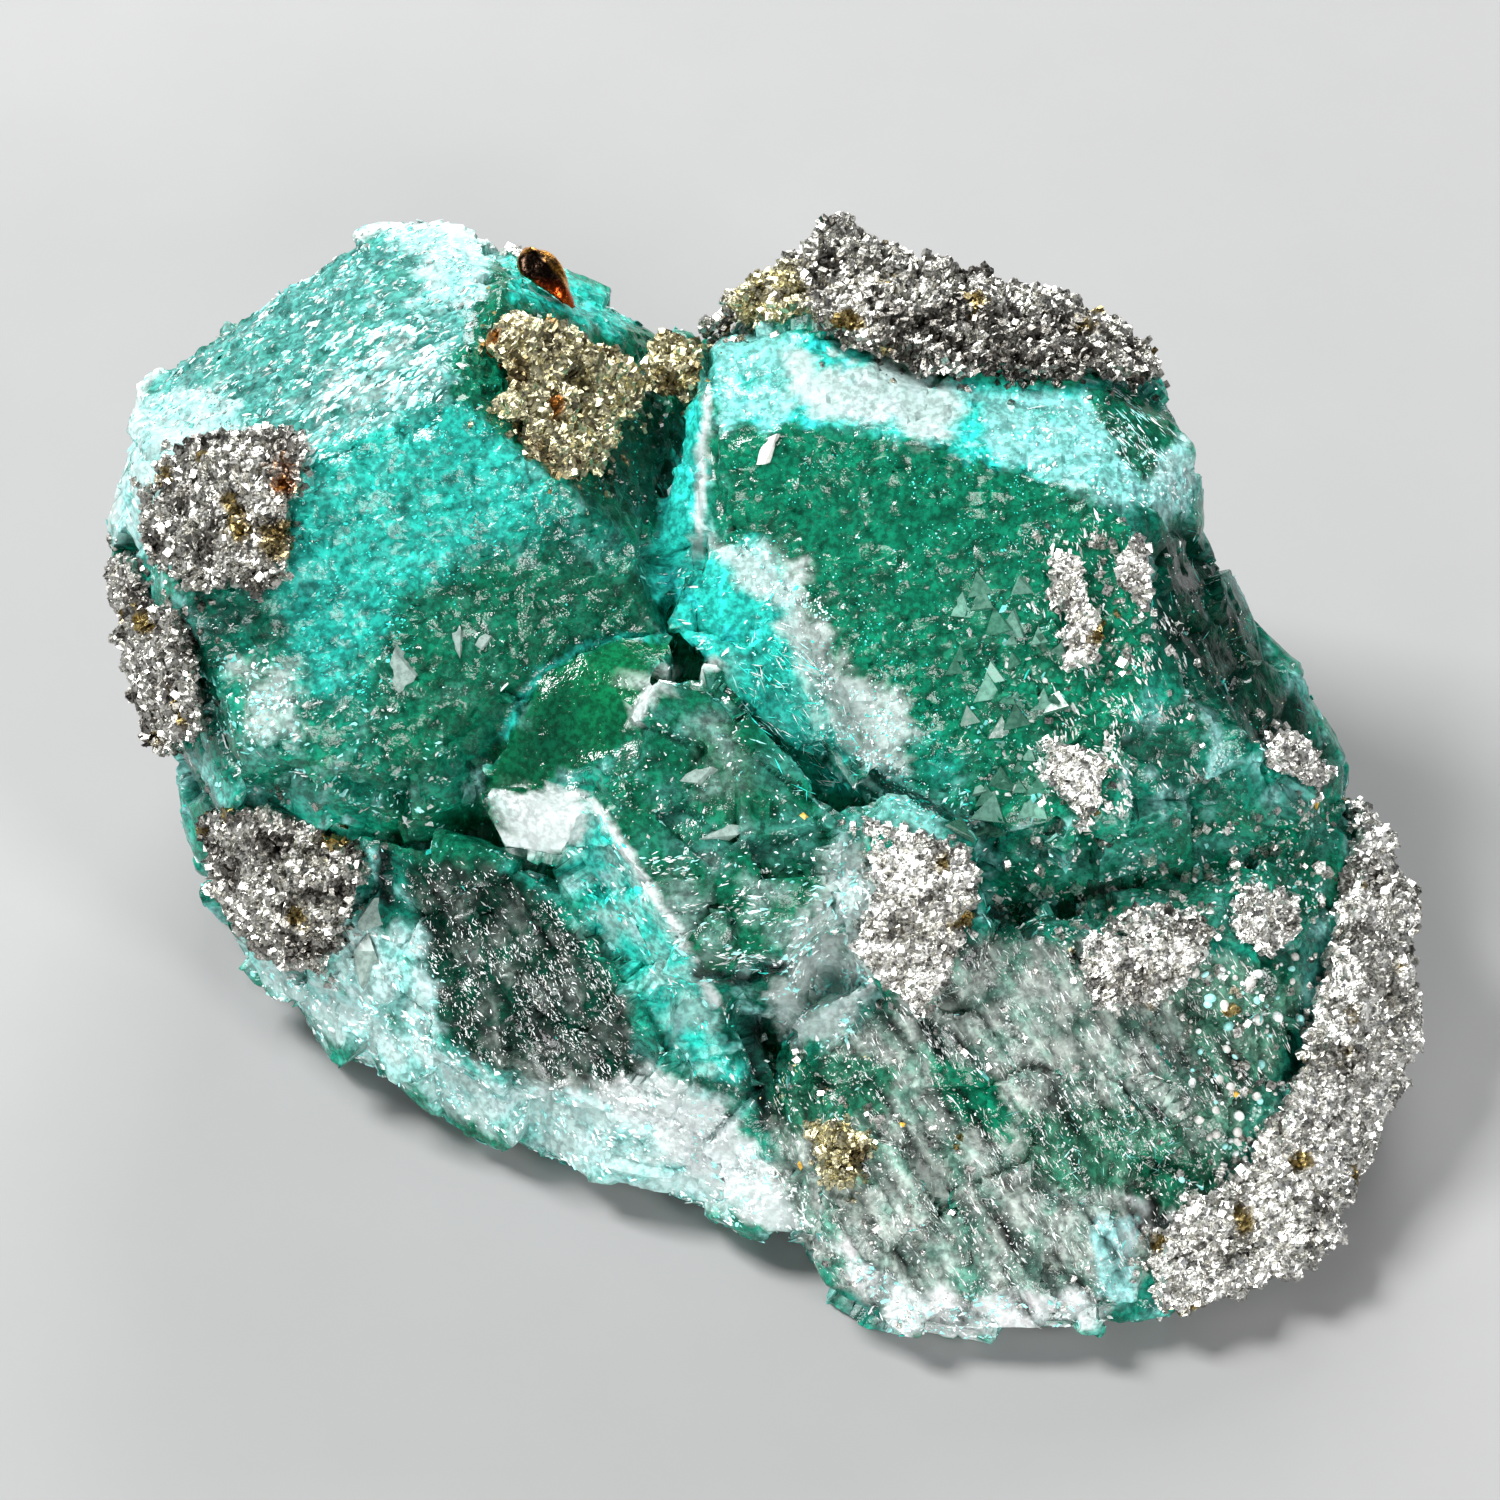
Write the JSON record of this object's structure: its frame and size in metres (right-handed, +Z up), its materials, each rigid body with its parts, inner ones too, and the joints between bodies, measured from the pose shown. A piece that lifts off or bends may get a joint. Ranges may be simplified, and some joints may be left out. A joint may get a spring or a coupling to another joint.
{
  "type": "green fluorite and pyrite mineral specimen",
  "caption": "Loose specimen of intergrown green fluorite crystals with crusts of pyrite grains, lying on a flat broken face.",
  "frame": {"origin": "centre of the bounding box's bottom, on the flat broken face that the specimen rests on", "axes": "+X along the specimen's length, to the right of its best side, +Z up, and the best side leans back and faces -Y and +Z, 50 degrees above the horizontal"},
  "size_m": [0.0597, 0.046, 0.0305],
  "materials": {
    "fluorite": "satin",
    "pyrite": "satin",
    "pyrite_gold": "satin",
    "pyrite_tarnished": "gloss"
  },
  "bodies": {
    "root": {"fluorite": "fluorite", "pyrite_crown": "pyrite", "pyrite_flank": "pyrite", "pyrite_gold_cluster": "pyrite_gold", "pyrite_ball": "pyrite_gold", "pyrite_tarnished_grain": "pyrite_tarnished", "pyrite_left_patch": "pyrite", "pyrite_left_rim": "pyrite", "pyrite_lower_left": "pyrite", "pyrite_centre": "pyrite", "pyrite_streak_upper": "pyrite", "pyrite_streak_side": "pyrite", "pyrite_streak_lower": "pyrite", "pyrite_edge_patch": "pyrite", "pyrite_lower_patch": "pyrite", "pyrite_small_patch": "pyrite", "pyrite_foot": "pyrite_gold"}
  },
  "joints": []
}
